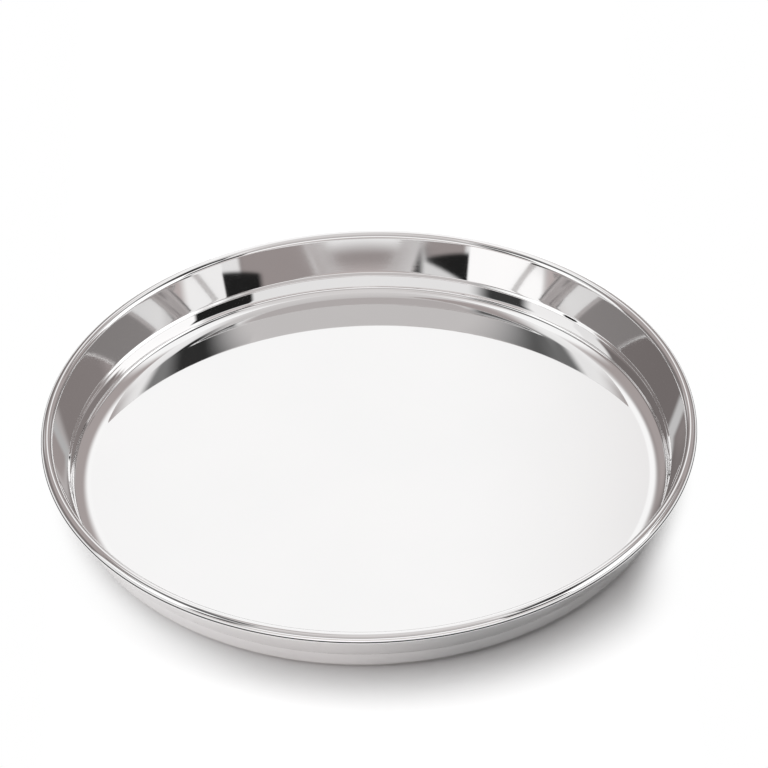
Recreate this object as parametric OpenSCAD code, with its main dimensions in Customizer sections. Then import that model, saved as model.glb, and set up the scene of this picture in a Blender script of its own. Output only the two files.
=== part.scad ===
// Round steel thali: one pressed sheet with a flat floor and a stepped wall,
// its edge curled outwards and down round a steel wire.
// The origin is the centre of the face that the plate rests on.

/* [Plate] */
// Outer diameter over the rolled rim
plate_d = 300; // [240:5:380]
// Height from the resting face to the top of the rim
plate_h = 29; // [24:1:40]
// Thickness of the pressed sheet
sheet_t = 0.7; // [0.5:0.1:1.2]

/* [Floor border] */
// Inside bend radius of the floor's border, which rises gently towards the wall
border_r = 22; // [10:1:30]
// Rise of the border where it meets the cove, in degrees
border_slope = 19; // [5:1:24]

/* [Lower wall] */
// Inside bend radius of the cove between the border and the lower wall
cove_r = 2; // [1:0.1:4]
// Outward lean of the lower wall from upright, in degrees
lower_lean = 6; // [1:1:20]
// Height at which the lower wall starts to turn out into the step
step_h = 9; // [7.6:0.2:11]

/* [Step] */
// Inside bend radius of the crease at the inner edge of the step
crease_r = 0.3; // [0.2:0.1:1]
// Straight width of the step along its slope
step_w = 0.9; // [0.5:0.1:3]
// Rise of the step from level, in degrees
step_slope = 45; // [20:1:60]
// Inside bend radius of the cove between the step and the upper wall
foot_r = 1.1; // [0.5:0.1:3]

/* [Upper wall and rim] */
// Outward lean of the upper wall from upright under the rim, in degrees
upper_lean = 18.4; // [10:0.2:24]
// How much further the upper wall leans at its foot than under the rim, in degrees
wall_dish = 1.8; // [0.6:0.2:5]
// Diameter of the wire inside the rim
wire_d = 4; // [2:0.1:5]
// Clearance between the wire and the curl around it
wire_gap = 0.1; // [0.05:0.05:0.2]
// Gap left between the end of the curl and the upper wall
seam_gap = 0.4; // [0.2:0.1:0.8]

/* [Smoothness] */
// Largest turn of a bend from one point of its outline to the next, in degrees
bend_step = 6; // [3:1:15]
// Least number of parts that a bend's outline is divided into
bend_parts = 4; // [2:1:8]
// Number of facets once round the plate
$fn = 180; // [60:12:360]

/* [Hidden] */

// Headings of the sheet, in degrees up from straight out
lower_heading = 90 - lower_lean;
upper_heading = 90 - upper_lean;
foot_heading = upper_heading - wall_dish;

// Bend radii at the middle of the sheet
half_t = sheet_t / 2;
border_mid = border_r + half_t;
cove_mid = cove_r + half_t;
crease_mid = crease_r + half_t;
foot_mid = foot_r + half_t;
curl_mid = wire_d / 2 + wire_gap + half_t;

// The curl stops where its outer face is seam_gap away from the wall
curl_turn = 360 - acos((curl_mid - half_t - seam_gap) / (curl_mid + half_t));

// Centre of the rolled rim's round section
rim_x = plate_d / 2 - half_t - curl_mid;
rim_z = plate_h - half_t - curl_mid;

// Straight run of the lower wall, from the end of the cove up to the step
border_top = half_t + border_mid * (1 - cos(border_slope));
cove_top = border_top + cove_mid * (cos(border_slope) - cos(lower_heading));
lower_run = (step_h - cove_top) / sin(lower_heading);

// Bend radius of the slightly dished upper wall, from the foot cove up to the curl
crease_rise = crease_mid * (cos(step_slope) - cos(lower_heading));
foot_rise = foot_mid * (cos(step_slope) - cos(foot_heading));
foot_top = step_h + crease_rise + step_w * sin(step_slope) + foot_rise;
curl_start_z = rim_z + curl_mid * cos(upper_heading);
wall_r = (curl_start_z - foot_top) / (cos(foot_heading) - cos(upper_heading));

// Straight run of the floor, from the axis out to the start of the border
border_out = border_mid * sin(border_slope);
cove_out = cove_mid * (sin(lower_heading) - sin(border_slope));
crease_out = crease_mid * (sin(lower_heading) - sin(step_slope));
foot_out = foot_mid * (sin(foot_heading) - sin(step_slope));
upper_out = wall_r * (sin(upper_heading) - sin(foot_heading));
wall_out = lower_run * cos(lower_heading) + step_w * cos(step_slope) + upper_out;
curl_start_x = rim_x - curl_mid * sin(upper_heading);
floor_run = curl_start_x - border_out - cove_out - crease_out - foot_out - wall_out;

// The sheet's path from the axis outwards. Each move is a straight run,
// then a bend given by its radius and its turn, with upward turns positive.
sheet_moves = [
    [floor_run, border_mid, border_slope],
    [0, cove_mid, lower_heading - border_slope],
    [lower_run, crease_mid, step_slope - lower_heading],
    [step_w, foot_mid, foot_heading - step_slope],
    [0, wall_r, upper_heading - foot_heading],
    [0, curl_mid, -curl_turn]
];

// Unit vector square to a heading, on its left
function left_of(heading) = [-sin(heading), cos(heading)];

// Stations [x, z, heading] along a bend that starts at point p, from number first on
function bend(p, heading, radius, turn, first) =
    let (
        side = sign(turn),
        centre = p + side * radius * left_of(heading),
        steps = max(bend_parts, ceil(abs(turn) / bend_step))
    )
    [
        for (i = [first:steps])
        let (
            h = heading + turn * i / steps,
            q = centre - side * radius * left_of(h)
        )
        [q.x, q.y, h]
    ];

// Stations of all the moves from number i on, starting at point p. A bend with no
// straight run before it leaves out its first station, where the last bend ended.
function walk(moves, p, heading = 0, i = 0) =
    i == len(moves) ? [] :
    let (
        start = p + moves[i][0] * [cos(heading), sin(heading)],
        first = moves[i][0] > 0 ? 0 : 1,
        stations = bend(start, heading, moves[i][1], moves[i][2], first),
        last = stations[len(stations) - 1]
    )
    concat(stations, walk(moves, [last.x, last.y], last[2], i + 1));

// The outline of one face of the sheet, offset to the left of its path
function face(stations, offset) =
    [for (s = stations) [s.x, s.y] + offset * left_of(s[2])];

function reversed(points) =
    [for (i = [len(points) - 1:-1:0]) points[i]];

// Half of the sheet's section, from the axis to the end of the curl
module sheet_section() {
    start = [0, half_t];
    stations = concat([[start.x, start.y, 0]], walk(sheet_moves, start));
    polygon(concat(face(stations, half_t), reversed(face(stations, -half_t))));
}

// Drawn sheet with its edge rolled into the rim
module pressed_plate() {
    color("gainsboro")
    rotate_extrude()
    sheet_section();
}

// Closed ring of wire that the edge is rolled round
module rim_wire() {
    color("darkgray")
    translate([0, 0, rim_z])
    rotate_extrude()
    translate([rim_x, 0])
    circle(d = wire_d, $fn = 48);
}

pressed_plate();
rim_wire();
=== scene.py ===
import math

import bpy
from mathutils import Matrix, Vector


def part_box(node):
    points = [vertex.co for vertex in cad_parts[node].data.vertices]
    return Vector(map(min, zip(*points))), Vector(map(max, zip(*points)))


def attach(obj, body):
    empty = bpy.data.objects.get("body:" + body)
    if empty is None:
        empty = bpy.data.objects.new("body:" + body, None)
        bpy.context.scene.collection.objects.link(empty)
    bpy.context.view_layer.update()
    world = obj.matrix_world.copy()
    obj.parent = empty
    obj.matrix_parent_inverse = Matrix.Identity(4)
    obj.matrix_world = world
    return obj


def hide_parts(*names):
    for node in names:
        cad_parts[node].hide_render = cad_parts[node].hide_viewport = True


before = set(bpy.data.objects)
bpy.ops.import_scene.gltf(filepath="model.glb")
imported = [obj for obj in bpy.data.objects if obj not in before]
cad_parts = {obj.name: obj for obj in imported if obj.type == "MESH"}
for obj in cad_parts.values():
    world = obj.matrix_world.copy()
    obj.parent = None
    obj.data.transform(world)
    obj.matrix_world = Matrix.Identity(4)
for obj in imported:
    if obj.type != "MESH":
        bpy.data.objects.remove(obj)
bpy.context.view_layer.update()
plate_low, plate_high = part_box("pressed_plate")

# The plate's own sizes, in metres and degrees, as its CAD solid has them
RIM_R = plate_high[0]
RIM_TOP = plate_high[2]
SHEET = 0.0007
BORDER_R = 0.022
BORDER_SLOPE = 19
COVE_R = 0.002
LOWER_LEAN = 6
STEP_HEIGHT = 0.009
CREASE_R = 0.0003
STEP_WIDTH = 0.0009
STEP_SLOPE = 45
FOOT_R = 0.0011
UPPER_LEAN = 18.4
WALL_DISH = 1.8
CURL_INSIDE_R = 0.0021
SEAM_GAP = 0.0004

# How finely the turned surface is drawn
BEND_STEP = 2.5
BEND_PARTS = 24
ROUND_STEPS = 288
EDGE_LOOP = 0.0003

# The photograph's view: its side in pixels, where the rim's centre and radius
# show in it, and the camera's place round that centre in metres and degrees
PHOTO_SIDE = 768
RIM_CENTRE_PX = (368.7, 426.1)
RIM_RADIUS_PX = 327.7
CAMERA_DISTANCE = 2.1
CAMERA_ELEVATION = 38.57
CAMERA_ROLL = -1.77
SENSOR_MM = 36

# How much pinker than neutral the studio's greys are
WARMTH = 0.08

# The floor's half width, its gap under the plate, and the radius inside which the plate rests on it
FLOOR_HALF = 6.0
FLOOR_DROP = 0.0002
RESTING_R = 0.127

# Where the floor's shadow ends to the left, to the right and outwards from under the rim, since white is
# painted over it beyond these
PAINTED_WHITE_LEFT = (-0.15, -0.04)
PAINTED_WHITE_RIGHT = (0.11, 0.14)
PAINTED_WHITE_OUT = (0.13, 0.15)

# Where the painted dark line, seen only in mirror, starts and ends on the floor outwards from the axis; the
# rolled rim mirrors it
PAINTED_LINE_START = (0.162, 0.166)
PAINTED_LINE_END = (0.18, 0.21)

# The lamp's place, diameter and power in watts
LAMP_PLACE = (-0.4, 0.25, 1.6)
LAMP_SIZE = 3.4
LAMP_POWER = 66


def sin(degrees):
    return math.sin(math.radians(degrees))


def cos(degrees):
    return math.cos(math.radians(degrees))


def make_camera(centre_height):
    """Camera at the photograph's angle, shifted so that the rim's centre lands where the photo has it."""
    data = bpy.data.cameras.new("camera")
    data.sensor_width = SENSOR_MM
    data.lens = RIM_RADIUS_PX * CAMERA_DISTANCE / RIM_R / PHOTO_SIDE * SENSOR_MM
    data.shift_x = 0.5 - RIM_CENTRE_PX[0] / PHOTO_SIDE
    data.shift_y = RIM_CENTRE_PX[1] / PHOTO_SIDE - 0.5
    data.clip_end = 100
    camera = bpy.data.objects.new("camera", data)
    bpy.context.collection.objects.link(camera)
    turn = Matrix.Rotation(math.radians(90 - CAMERA_ELEVATION), 4, "X")
    roll = Matrix.Rotation(math.radians(CAMERA_ROLL), 4, "Z")
    place = Matrix.Translation((
        0,
        -CAMERA_DISTANCE * cos(CAMERA_ELEVATION),
        centre_height + CAMERA_DISTANCE * sin(CAMERA_ELEVATION),
    ))
    camera.matrix_world = place @ turn @ roll
    bpy.context.scene.camera = camera


def sheet_path():
    """Stations (radius, height, heading) along the middle of the sheet, from the axis to the curl's end."""
    half = SHEET / 2
    lower = 90 - LOWER_LEAN
    upper = 90 - UPPER_LEAN
    low = upper - WALL_DISH
    border = BORDER_R + half
    cove = COVE_R + half
    crease = CREASE_R + half
    foot = FOOT_R + half
    curl = CURL_INSIDE_R + half
    seam_angle = math.degrees(math.acos((curl - half - SEAM_GAP) / (curl + half)))
    rim_x = RIM_R - half - curl
    rim_z = RIM_TOP - half - curl
    border_up = border * (1 - cos(BORDER_SLOPE))
    border_out = border * sin(BORDER_SLOPE)
    cove_up = cove * (cos(BORDER_SLOPE) - cos(lower))
    cove_out = cove * (sin(lower) - sin(BORDER_SLOPE))
    lower_run = (STEP_HEIGHT - half - border_up - cove_up) / sin(lower)
    step_out = crease * (sin(lower) - sin(STEP_SLOPE)) + STEP_WIDTH * cos(STEP_SLOPE)
    step_up = crease * (cos(STEP_SLOPE) - cos(lower)) + STEP_WIDTH * sin(STEP_SLOPE)
    foot_out = foot * (sin(low) - sin(STEP_SLOPE))
    foot_up = foot * (cos(STEP_SLOPE) - cos(low))
    wall_up = rim_z + curl * cos(upper) - STEP_HEIGHT - step_up - foot_up
    wall = wall_up / (cos(low) - cos(upper))
    wall_out = wall * (sin(upper) - sin(low))
    walls_out = cove_out + lower_run * cos(lower) + wall_out
    floor_run = rim_x - curl * sin(upper) - border_out - walls_out - step_out - foot_out
    moves = (
        (floor_run, border, BORDER_SLOPE),
        (0, cove, lower - BORDER_SLOPE),
        (lower_run, crease, STEP_SLOPE - lower),
        (STEP_WIDTH, foot, low - STEP_SLOPE),
        (0, wall, upper - low),
        (0, curl, seam_angle - 360),
    )
    return walk(moves, half)


def walk(moves, start_height):
    """Follows straight runs and bends, with stations close to each bend so that straights shade flat."""
    x, z, heading = 0.0, start_height, 0.0
    stations = [(x, z, heading)]
    for run, radius, turn in moves:
        parts = (EDGE_LOOP, run / 2, run - EDGE_LOOP, run) if run else ()
        stations += [(x + part * cos(heading), z + part * sin(heading), heading) for part in parts]
        x, z, heading = stations[-1]
        side = math.copysign(1, turn)
        centre_x = x - side * radius * sin(heading)
        centre_z = z + side * radius * cos(heading)
        steps = max(BEND_PARTS, math.ceil(abs(turn) / BEND_STEP))
        for i in range(1, steps + 1):
            h = heading + turn * i / steps
            stations.append((centre_x + side * radius * sin(h), centre_z - side * radius * cos(h), h))
        x, z, heading = stations[-1]
    return stations


def sheet_outline():
    """Closed half section of the sheet: out along its inner face and back along its outer face."""
    half = SHEET / 2
    stations = sheet_path()
    inner = [(x - half * sin(h), z + half * cos(h)) for x, z, h in stations]
    outer = [(x + half * sin(h), z - half * cos(h)) for x, z, h in stations]
    return inner + outer[::-1]


def lathe(name, outline):
    """Turns a half section that starts and ends on the axis once round it, as one closed mesh."""
    ring = outline[1:-1]
    verts = [(0, 0, outline[0][1])]
    for j in range(ROUND_STEPS):
        angle = math.tau * j / ROUND_STEPS
        verts += [(r * math.cos(angle), r * math.sin(angle), z) for r, z in ring]
    verts.append((0, 0, outline[-1][1]))
    last = len(verts) - 1
    count = len(ring)
    faces = []
    for j in range(ROUND_STEPS):
        here = 1 + j * count
        there = 1 + (j + 1) % ROUND_STEPS * count
        faces.append((0, here, there))
        faces += [(here + i, here + i + 1, there + i + 1, there + i) for i in range(count - 1)]
        faces.append((last, there + count - 1, here + count - 1))
    mesh = bpy.data.meshes.new(name)
    mesh.from_pydata(verts, [], faces)
    mesh.shade_smooth()
    piece = bpy.data.objects.new(name, mesh)
    bpy.context.collection.objects.link(piece)
    return piece


class Nodes:
    """Adds shader nodes to a tree. Inputs are named or numbered, and are values or other nodes' outputs."""

    def __init__(self, tree):
        self.tree = tree
        tree.nodes.clear()

    def add(self, kind, output=0, inputs=None, **settings):
        node = self.tree.nodes.new(kind)
        for key, value in settings.items():
            setattr(node, key, value)
        for key, value in (inputs or {}).items():
            if isinstance(value, bpy.types.NodeSocket):
                self.tree.links.new(value, node.inputs[key])
            else:
                node.inputs[key].default_value = value
        return node.outputs[output] if node.outputs else node

    def math(self, operation, a, b=0.0, c=0.0):
        return self.add("ShaderNodeMath", operation=operation, inputs={0: a, 1: b, 2: c})

    def smooth(self, value, low, high, start=0.0, end=1.0):
        """Smooth step of a value from start at low to end at high."""
        return self.add(
            "ShaderNodeMapRange",
            interpolation_type="SMOOTHSTEP",
            inputs={0: value, 1: low, 2: high, 3: start, 4: end},
        )

    def times(self, a, b):
        return self.math("MULTIPLY", a, b)

    def larger(self, a, b):
        return self.math("MAXIMUM", a, b)

    def radius(self, split):
        """Distance from the upright axis, from a place's separate coordinates."""
        squares = self.math("ADD", self.math("POWER", split[0], 2.0), self.math("POWER", split[1], 2.0))
        return self.math("SQRT", squares)

    def mix_shader(self, factor, a, b):
        return self.add("ShaderNodeMixShader", inputs={0: factor, 1: a, 2: b})

    def mix(self, factor, a, b):
        return self.add("ShaderNodeMix", output=2, data_type="RGBA", inputs={0: factor, 6: a, 7: b})


def grey(level, warmth=0.0):
    """A grey of that linear level, a little pinker where warmth is above 0."""
    return (level * (1 + warmth), level * (1 - warmth * 0.4), level * (1 - warmth * 0.6), 1)


def new_material(name):
    material = bpy.data.materials.new(name)
    material.use_nodes = True
    return material, Nodes(material.node_tree)


def polished_steel():
    """Mirror-polished sheet, with faint turning lines and a satin, machine-turned resting face."""
    material, n = new_material("polished_steel")
    place = n.add("ShaderNodeTexCoord", output=3)
    split = n.add("ShaderNodeSeparateXYZ", inputs={0: place}).node.outputs
    # The resting face and the bend round it, from 1 at the table to 0 up the wall
    base = n.smooth(split[2], 0.0002, 0.0006, 1.0, 0.0)
    haze = n.add("ShaderNodeTexNoise", inputs={"Vector": place, "Scale": 14.0, "Detail": 4.0})
    rings = n.add(
        "ShaderNodeTexNoise",
        noise_dimensions="1D",
        inputs={"W": n.radius(split), "Scale": 2600.0, "Detail": 3.0},
    )
    tint = n.mix(n.smooth(haze, 0.3, 0.7), grey(0.797, 0.004), grey(0.807, 0.006))
    satin = n.math("MULTIPLY_ADD", rings, 0.12, 0.12)
    mirror = n.math("MULTIPLY_ADD", haze, 0.03, 0.012)
    rough = n.add("ShaderNodeMix", data_type="FLOAT", inputs={0: base, 2: mirror, 3: satin})
    bump = n.add("ShaderNodeBump", inputs={
        "Height": rings,
        "Distance": 0.0001,
        "Strength": n.math("MULTIPLY_ADD", base, 0.1, 0.002),
    })
    surface = n.add("ShaderNodeBsdfPrincipled", inputs={
        "Base Color": tint,
        "Metallic": 1.0,
        "Roughness": rough,
        "Normal": bump,
    })
    n.add("ShaderNodeOutputMaterial", inputs={0: surface})
    return material


def drawn_wire():
    """Plain drawn steel wire, with fine marks along it."""
    material, n = new_material("drawn_wire")
    place = n.add("ShaderNodeTexCoord", output=3)
    marks = n.add("ShaderNodeTexNoise", inputs={"Vector": place, "Scale": 900.0, "Detail": 4.0})
    surface = n.add("ShaderNodeBsdfPrincipled", inputs={
        "Base Color": n.mix(marks, grey(0.35), grey(0.55)),
        "Metallic": 1.0,
        "Roughness": n.math("MULTIPLY_ADD", marks, 0.2, 0.25),
        "Normal": n.add("ShaderNodeBump", inputs={"Height": marks, "Distance": 0.0001, "Strength": 0.3}),
    })
    n.add("ShaderNodeOutputMaterial", inputs={0: surface})
    return material


def make_floor():
    """Wide pale floor just under the plate, white away from it and darker in its shadow."""
    mesh = bpy.data.meshes.new("floor")
    corners = [(x, y, -FLOOR_DROP) for x, y in ((-1, -1), (1, -1), (1, 1), (-1, 1))]
    mesh.from_pydata([(x * FLOOR_HALF, y * FLOOR_HALF, z) for x, y, z in corners], [], [(0, 1, 2, 3)])
    floor = bpy.data.objects.new("floor", mesh)
    bpy.context.collection.objects.link(floor)
    mesh.materials.append(pale_floor())


def pale_floor():
    """Matt floor that keeps the plate's shadow under and in front of the plate, with white painted over it
    to the left and right, and with painted light and a painted dark line that only the metal mirrors.
    """
    material, n = new_material("pale_floor")
    path = n.add("ShaderNodeLightPath").node.outputs
    to_camera = path["Is Camera Ray"]
    to_metal = path["Is Glossy Ray"]
    place = n.add("ShaderNodeTexCoord", output=3)
    split = n.add("ShaderNodeSeparateXYZ", inputs={0: place}).node.outputs
    radius = n.radius(split)

    # Painted light: the floor glows to mirror rays only, more to the left, so what the outer wall mirrors
    # of it is paler to the left than to the right
    mirrored_glow = n.times(n.smooth(split[0], -0.03, 0.05, 0.17, 0.0), to_metal)
    strength = n.math("MULTIPLY_ADD", to_camera, 0.03, mirrored_glow)
    glow = n.add("ShaderNodeEmission", inputs={"Color": grey(1.0, WARMTH), "Strength": strength})
    diffuse = n.add("ShaderNodeBsdfDiffuse", inputs={"Color": grey(0.9)})
    shaded = n.add("ShaderNodeAddShader", inputs={0: diffuse, 1: glow})

    # Left and right of the plate the shadow stays under the rim, as in the photograph
    # Painted light: beyond the rim, to the left and right, the floor is painted plain white over its shadow
    white = n.add("ShaderNodeEmission", inputs={"Strength": n.larger(to_camera, to_metal)})
    painted_white_aside = n.larger(n.smooth(split[0], *PAINTED_WHITE_LEFT, 1.0, 0.0), n.smooth(split[0], *PAINTED_WHITE_RIGHT))
    shown = n.mix_shader(n.times(painted_white_aside, n.smooth(radius, *PAINTED_WHITE_OUT)), shaded, white)

    # Painted reflection: a dark ring on the floor just outside the plate that only mirror rays see, so the
    # rolled rim mirrors a dark line
    line = n.times(n.smooth(radius, *PAINTED_LINE_START), n.smooth(radius, *PAINTED_LINE_END, 1.0, 0.0))
    black = n.add("ShaderNodeEmission", inputs={"Strength": 0.02})
    shown = n.mix_shader(n.times(line, to_metal), shown, black)

    # From below the floor is clear, also to what the resting face mirrors, so that the underside shows
    clear = n.add("ShaderNodeBsdfTransparent")
    under = n.times(n.math("LESS_THAN", radius, RESTING_R), to_metal)
    behind = n.add("ShaderNodeNewGeometry").node.outputs["Backfacing"]
    shown = n.mix_shader(n.larger(behind, under), shown, clear)
    n.add("ShaderNodeOutputMaterial", inputs={0: shown})
    return material


class Studio:
    """What the metal mirrors, built up by direction from panels laid over one another.
    Heading is 0 in front and grows to the right, elevation is 0 at the horizon, both in degrees."""

    def __init__(self, nodes, base):
        self.n = nodes
        self.colour = base
        direction = nodes.add("ShaderNodeTexCoord", output=0)
        x, y, z = nodes.add("ShaderNodeSeparateXYZ", inputs={0: direction}).node.outputs
        degree = math.degrees(1)
        self.elevation = nodes.times(nodes.math("ARCSINE", z), degree)
        self.heading = nodes.times(nodes.math("ARCTAN2", x, nodes.times(y, -1.0)), degree)

    def between(self, value, low, high, soft):
        rise = self.n.smooth(value, low - soft[0], low + soft[0])
        fall = self.n.smooth(value, high - soft[1], high + soft[1], 1.0, 0.0)
        return self.n.times(rise, fall)

    def panel(self, sides, ends, level, side_soft=(2, 2), end_soft=(2, 2), slant=0.0, tilt=0.0):
        """Adds a panel between two headings and two elevations, with the softness of each edge.
        Slant moves its sides for each degree of elevation, and tilt its ends for each of heading."""
        n = self.n
        across = self.heading
        along = self.elevation
        if slant:
            from_end = n.math("SUBTRACT", self.elevation, ends[0])
            across = n.math("MULTIPLY_ADD", from_end, -slant, self.heading)
        if tilt:
            from_side = n.math("SUBTRACT", self.heading, sides[0])
            along = n.math("MULTIPLY_ADD", from_side, -tilt, self.elevation)
        cover = n.times(self.between(across, *sides, side_soft), self.between(along, *ends, end_soft))
        self.colour = n.mix(cover, self.colour, level)


def lay_panels(room):
    """The windows, walls and flags round the plate, placed where the photograph mirrors them."""
    # Greyer overhead, with the brightest windows left and right
    room.panel((-200, 200), (66, 100), grey(0.78, WARMTH / 4), end_soft=(4, 3))
    room.panel((-150, -105), (66, 84), grey(0.46, WARMTH), side_soft=(4, 4), end_soft=(4, 3))
    room.panel((60, 109), (0, 46), grey(1.5), side_soft=(2, 1), end_soft=(3, 4))
    room.panel((-84, -57), (0, 46), grey(1.3), side_soft=(1, 2), end_soft=(3, 4))
    room.panel((66, 82), (43, 51), grey(0.45, WARMTH), side_soft=(3, 3), end_soft=(3, 3))
    # Grey ceiling in front, darker where it meets the front wall
    room.panel((-50, 55), (43, 66), grey(0.62, WARMTH / 2), side_soft=(6, 6), end_soft=(3, 4))
    room.panel((-56, 56), (33, 43), grey(0.36, WARMTH / 2), end_soft=(3, 2))
    # Far edge of the table, a dark line just above the horizon in front
    n = room.n
    edge = n.mix(n.smooth(room.elevation, 0.2, 2.3), grey(1.08), grey(0.33, WARMTH))
    edge = n.mix(n.smooth(room.elevation, 2.4, 5.0), edge, grey(0.65, WARMTH))
    room.panel((-59, 59), (-30, 13), edge, side_soft=(4, 4))
    # Dark side walls, the paler wall behind, and a bright strip in each corner
    room.panel((102, 170), (-5, 24), grey(0.29, WARMTH), side_soft=(2, 5))
    room.panel((98, 105), (5, 17), grey(0.38, WARMTH), side_soft=(2, 3), end_soft=(3, 3))
    room.panel((-170, -97), (-5, 46), grey(0.22, WARMTH), side_soft=(5, 2), end_soft=(2, 5))
    room.panel((112, 173), (24, 52), grey(0.42, WARMTH), side_soft=(2, 6), end_soft=(2, 3))
    room.panel((-169, -97), (28, 52), grey(0.42, WARMTH), side_soft=(8, 3), end_soft=(5, 3))
    room.panel((144, 149.5), (21, 28), grey(0.62))
    room.panel((-149.5, -142), (19, 27.5), grey(0.75))
    # High dark flags
    room.panel((57, 118), (48, 67), grey(0.04), side_soft=(2, 3), end_soft=(6, 3), slant=0.86)
    room.panel((112, 131), (48, 60), grey(0.28), side_soft=(4, 4), end_soft=(3, 1.5))
    room.panel((-112, -47), (48, 67), grey(0.14), side_soft=(8, 5), end_soft=(4, 4), slant=-0.7)
    room.panel((-126, -108), (48, 62), grey(0.22), side_soft=(4, 4), end_soft=(3, 2))
    # Low black flags
    room.panel((42, 66), (17, 34), grey(0.02), side_soft=(1, 1))
    room.panel((-62, -43), (16, 34), grey(0.06), side_soft=(3, 5), end_soft=(4, 2))
    room.panel((58, 104), (-12, 5), grey(0.04), side_soft=(3, 12), end_soft=(2, 3))
    room.panel((-90, -58), (-12, 4), grey(0.1), side_soft=(12, 3), end_soft=(2, 3))
    # Black wedges behind, with a pale one cut into the right wedge's top
    room.panel((-110, -83.5), (37.4, 41), grey(0.02), side_soft=(3, 0.8), end_soft=(0.25, 0.5), tilt=-0.1)
    room.panel((109.5, 147), (36, 45), grey(0.02), side_soft=(0.8, 3), end_soft=(0.3, 2), tilt=0.0687)
    room.panel((112, 141), (39.1, 46), grey(1.0), side_soft=(1, 3), end_soft=(0.3, 2), tilt=-0.026)


def make_world():
    """White to the camera, plain light to the floor, and a photographer's studio to the metal."""
    world = bpy.data.worlds.new("studio")
    world.use_nodes = True
    bpy.context.scene.world = world
    n = Nodes(world.node_tree)
    room = Studio(n, grey(1.15))
    lay_panels(room)
    path = n.add("ShaderNodeLightPath").node.outputs
    to_metal = n.add("ShaderNodeBackground", inputs={"Color": room.colour, "Strength": 1.0})
    to_floor = n.add("ShaderNodeBackground", inputs={"Color": grey(1.0), "Strength": 0.17})
    to_camera = n.add("ShaderNodeBackground", inputs={"Color": grey(1.0), "Strength": 1.0})
    shown = n.mix_shader(path["Is Glossy Ray"], to_floor, to_metal)
    shown = n.mix_shader(path["Is Camera Ray"], shown, to_camera)
    n.add("ShaderNodeOutputWorld", inputs={0: shown})


def make_lamp():
    """Large soft lamp above and a little behind the plate, which throws its short shadow to the front."""
    data = bpy.data.lights.new("softbox", "AREA")
    data.shape = "DISK"
    data.size = LAMP_SIZE
    data.energy = LAMP_POWER
    lamp = bpy.data.objects.new("softbox", data)
    lamp.visible_glossy = False
    lamp.visible_camera = False
    bpy.context.collection.objects.link(lamp)
    lamp.location = LAMP_PLACE
    lamp.rotation_euler = (-lamp.location).to_track_quat("-Z", "Y").to_euler()


make_camera(RIM_TOP - SHEET - CURL_INSIDE_R)

plate = lathe("polished_plate", sheet_outline())
plate.data.materials.append(polished_steel())
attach(plate, "root")
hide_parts("pressed_plate")

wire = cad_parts["rim_wire"]
wire_material = drawn_wire()
for wire_slot in wire.material_slots:
    wire_slot.material = wire_material

make_floor()
make_world()
make_lamp()

bpy.context.scene.view_settings.view_transform = "Standard"
